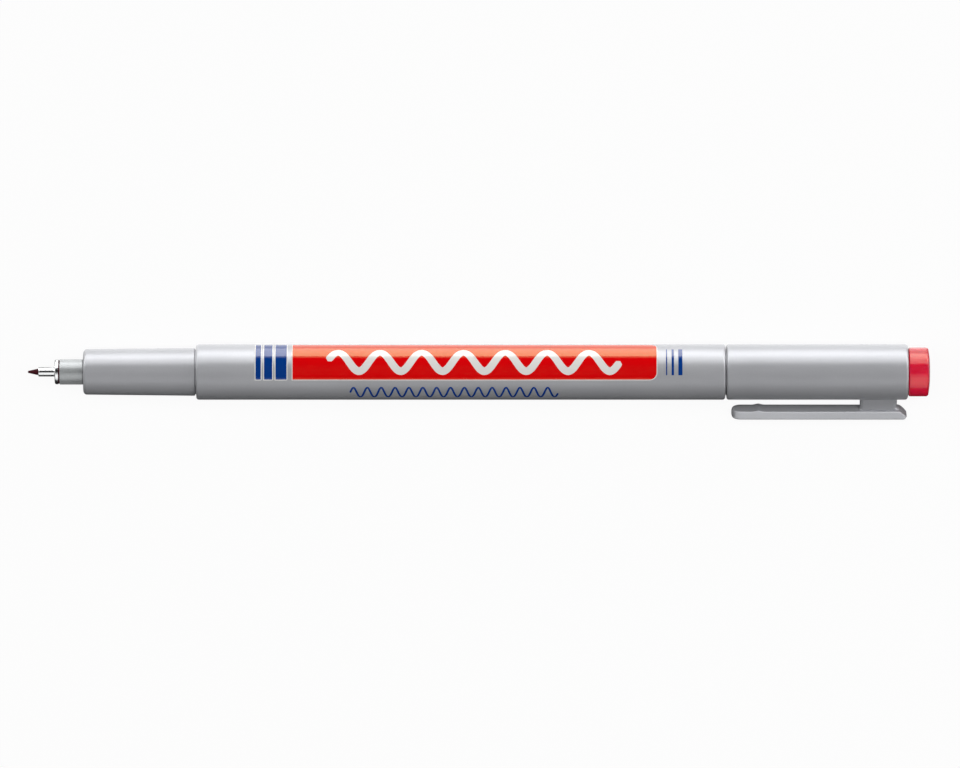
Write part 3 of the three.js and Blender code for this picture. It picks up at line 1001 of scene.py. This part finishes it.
# Softboxes over the pen, seen from it between two angles, positive towards +Y. The top one lights the
# colours and buttonFill the button's lower side. The others only show as highlights.
softboxes = {
    "top": {"distance": 0.9, "from": -14, "to": 26, "radiance": 2.05, "glossy": False},
    "key": {"distance": 0.5, "from": 67, "to": 91, "radiance": 3.8, "diffuse": False},
    "keyWide": {"distance": 0.6, "from": 39, "to": 66, "radiance": 2.6, "diffuse": False},
    "fillHigh": {"distance": 0.8, "from": -62, "to": -25, "radiance": 0.6, "diffuse": False},
    "fillLow": {"distance": 0.8, "from": -82, "to": -62, "radiance": 0.15, "diffuse": False},
    "fillBright": {"distance": 0.7, "from": -80, "to": -12, "radiance": 0.8, "diffuse": False},
    "noseFill": {"distance": 0.7, "from": 27, "to": 60, "radiance": 0.8, "diffuse": False},
    "clipLine": {"distance": 0.7, "from": -6, "to": 62, "radiance": 2.6, "diffuse": False},
    "buttonFill": {"distance": 0.7, "from": -96, "to": -56, "radiance": 0.6, "glossy": False},
}


# Parts of the studio that only reflections see: black, nearly unlit cards, and under the pen a dimly glowing
# card of painted shadow.
# One is bent round the pen, in metres, and flat ones lie on the table, each given by two corners in
# millimetres.
cards = {
    "skyFlag": {"radius": 1.0, "length": 20.0, "from": -90, "to": 60, "steps": 25},
    "nearCard": ((-1200, -1000), (1200, -4.3)),
    # painted shadow: a dim card for the table in the pen's shadow, seen only in reflections
    "penShadowCard": ((-1200, -4.3), (1200, 4)),
    "tipCard": ((-1200, 4), (-73.5, 300)),
    "capCard": ((78, 4), (1200, 300)),
}
# shadeCard's glow paints the shade of the table under the pen
cardRadiance = {"blackCard": 0.01, "shadeCard": 0.4}


def addLamp(name, look, size, place, turn):
    # an area lamp of two sizes in metres, whose power is radiance * pi * area
    data = bpy.data.lights.new(name, "AREA")
    data.shape = "RECTANGLE"
    data.size, data.size_y = size
    data.energy = look["radiance"] * np.pi * size[0] * size[1]
    lamp = bpy.data.objects.new(name, data)
    lamp.location, lamp.rotation_euler = place, turn
    lamp.visible_camera = False
    lamp.visible_diffuse = look.get("diffuse", True)
    lamp.visible_glossy = look.get("glossy", True)
    bpy.context.scene.collection.objects.link(lamp)
    return lamp


def spanAngles(look):
    # middle angle of a lamp, and its size that fills the angles at its distance
    middle = np.radians((look["from"] + look["to"]) / 2)
    half = np.radians(look["to"] - look["from"]) / 2
    return middle, 2 * look["distance"] * np.tan(half)


def addSoftbox(name, look):
    middle, width = spanAngles(look)
    place = (0, look["distance"] * np.sin(middle), look["distance"] * np.cos(middle))
    return addLamp(name, look, (studio["lampLength"], width), place, (-middle, 0, 0))


def addEndLamp(name):
    # a low softbox beyond one end of the pen, which gives rims to what faces it
    look = studio[name]
    middle, height = spanAngles(look)
    place = (look["side"] * look["distance"] * np.sin(middle), 0, look["distance"] * np.cos(middle))
    return addLamp(name, look, (height, studio["lampLength"]), place, (0, look["side"] * middle, 0))


def addGlow(name):
    # a lit part of the table, which the pen's lower side reflects
    look = studio[name]
    size = (studio["lampLength"], (look["far"] - look["near"]) * mm)
    place = (0, (look["near"] + look["far"]) / 2 * mm, look["height"] * mm)
    return addLamp(name, look, size, place, (np.pi, 0, 0))


def linkLamp(lamp, objects, state):
    # "INCLUDE" lets a lamp light these objects alone, and "EXCLUDE" all but these
    group = bpy.data.collections.new(lamp.name + "Group")
    for obj in objects:
        group.objects.link(obj)
    lamp.light_linking.receiver_collection = group
    for item in group.collection_objects:
        item.light_linking.link_state = state


def addCard(name, points, faces, material):
    mesh = bpy.data.meshes.new(name)
    mesh.from_pydata(points, [], faces)
    card = bpy.data.objects.new(name, mesh)
    card.data.materials.append(material)
    bpy.context.scene.collection.objects.link(card)
    for rays in ("camera", "diffuse", "transmission", "volume_scatter", "shadow"):
        setattr(card, "visible_" + rays, False)


def addFlag(name, material):
    # a card bent round the pen: y = radius sin(angle), z = radius cos(angle)
    look = cards[name]
    angle = np.radians(np.linspace(look["from"], look["to"], look["steps"]))
    points = np.empty((len(angle), 2, 3))
    points[..., 0] = np.array([-1, 1]) * look["length"] / 2
    points[..., 1] = (look["radius"] * np.sin(angle))[:, None]
    points[..., 2] = (look["radius"] * np.cos(angle))[:, None]
    i = np.arange(len(angle) - 1) * 2
    faces = np.stack([i, i + 1, i + 3, i + 2], -1)
    addCard(name, points.reshape(-1, 3).tolist(), faces.tolist(), material)


def addTableCard(name, material):
    (x0, y0), (x1, y1) = np.array(cards[name]) * mm
    z = studio["cardHeight"] * mm
    addCard(name, [(x0, y0, z), (x1, y0, z), (x1, y1, z), (x0, y1, z)], [(0, 1, 2, 3)], material)


def makeCard(name):
    material = newMaterial(name)
    shader = addNode(
        material, "ShaderNodeEmission", {"Color": (1, 1, 1, 1), "Strength": cardRadiance[name]},
    )
    addNode(material, "ShaderNodeOutputMaterial", links={"Surface": (shader, "Emission")})
    return material


def seenByEye(owner):
    # 1 for what the camera sees, itself or in a reflection or through glass, and 0 for other light
    rays = addNode(owner, "ShaderNodeLightPath")
    direct = addNode(
        owner, "ShaderNodeMath", links={0: (rays, "Is Camera Ray"), 1: (rays, "Is Glossy Ray")},
        operation="ADD", use_clamp=True,
    )
    return addNode(
        owner, "ShaderNodeMath", links={0: (direct, 0), 1: (rays, "Is Transmission Ray")},
        operation="ADD", use_clamp=True,
    )


def makeTable():
    # White to the camera and in reflections, apart from the pen's own faint shadow, and darker for
    # light that bounces, as a table that runs off into the dark studio.
    material = newMaterial("whiteTable")
    seen = seenByEye(material)
    share = addNode(
        material, "ShaderNodeMath", {1: studio["floorWhite"]}, {0: (seen, 0)}, operation="MULTIPLY",
    )
    bounce, eye = studio["floorBounce"], studio["floorSeen"]
    colour = addNode(
        material, "ShaderNodeMix",
        {"A": (bounce, bounce, bounce, 1), "B": (eye, eye, eye, 1)}, {"Factor": (seen, 0)},
        data_type="RGBA",
    )
    paper = addNode(material, "ShaderNodeBsdfDiffuse", links={"Color": (colour, "Result")})
    white = addNode(material, "ShaderNodeEmission", {"Color": (1, 1, 1, 1), "Strength": 1.0})
    mix = addNode(
        material, "ShaderNodeMixShader", links={0: (share, 0), 1: (paper, "BSDF"), 2: (white, "Emission")},
    )
    addNode(material, "ShaderNodeOutputMaterial", links={"Surface": (mix, "Shader")})
    return material


def makeWorld():
    # white around the table to the eye, and nearly dark as a light
    world = bpy.data.worlds.new("studio")
    world.use_nodes = True
    world.node_tree.nodes.clear()
    seen = seenByEye(world)
    dim = addNode(world, "ShaderNodeBackground", {"Color": (1, 1, 1, 1), "Strength": studio["ambient"]})
    white = addNode(world, "ShaderNodeBackground", {"Color": (1, 1, 1, 1), "Strength": 1.0})
    mix = addNode(
        world, "ShaderNodeMixShader",
        links={0: (seen, 0), 1: (dim, "Background"), 2: (white, "Background")},
    )
    addNode(world, "ShaderNodeOutputWorld", links={"Surface": (mix, "Shader")})
    bpy.context.scene.world = world


blackCard, shadeCard = makeCard("blackCard"), makeCard("shadeCard")
makeWorld()

floorHeight = (pen["axisHeight"] - pen["radius"]) * mm
bpy.ops.mesh.primitive_plane_add(size=studio["floorSize"], location=(0, 0, floorHeight))
table = bpy.context.object
table.name = "table"
table.data.materials.append(makeTable())

lamps = {name: addSoftbox(name, look) for name, look in softboxes.items()}
linkLamp(lamps["keyWide"], prints, "EXCLUDE")
linkLamp(lamps["fillBright"], [noseCone, needleFerrule, endButton, pocketClip], "INCLUDE")
linkLamp(lamps["noseFill"], [noseCone], "INCLUDE")
linkLamp(lamps["clipLine"], [pocketClip], "INCLUDE")
linkLamp(lamps["buttonFill"], [endButton], "INCLUDE")
addGlow("farGlow")
addGlow("nearGlow")
linkLamp(addGlow("printGlow"), prints, "INCLUDE")
linkLamp(addGlow("noseGlow"), [noseCone], "INCLUDE")
linkLamp(addGlow("noseEdge"), [noseCone], "INCLUDE")
addEndLamp("tipLamp")
linkLamp(addEndLamp("capLamp"), [needleFerrule, endButton], "EXCLUDE")
addFlag("skyFlag", blackCard)
for name in ("nearCard", "tipCard", "capCard"):
    addTableCard(name, blackCard)
# painted shadow of the table under the pen, for reflections
addTableCard("penShadowCard", shadeCard)

camera = {
    "lens": 400, "sensor": 36, "viewWidth": 164.1, "clipEnd": 20, "pixelWidth": 960,
    "axisRow": 371.9, "middleRow": 384, "penMiddleColumn": 479.25, "middleColumn": 480,
}


def addCamera():
    # straight above the table, so far away that the view is viewWidth millimetres wide at the pen's axis
    c = camera
    pixel = c["viewWidth"] / c["pixelWidth"]
    data = bpy.data.cameras.new("camera")
    data.lens, data.sensor_width = c["lens"], c["sensor"]
    data.clip_end = c["clipEnd"]
    obj = bpy.data.objects.new("camera", data)
    obj.location = (
        (c["middleColumn"] - c["penMiddleColumn"]) * pixel * mm,
        (c["axisRow"] - c["middleRow"]) * pixel * mm,
        (pen["axisHeight"] + c["viewWidth"] * c["lens"] / c["sensor"]) * mm,
    )
    bpy.context.scene.collection.objects.link(obj)
    bpy.context.scene.camera = obj


addCamera()
bpy.context.scene.view_settings.view_transform = "Standard"
print("studio made")
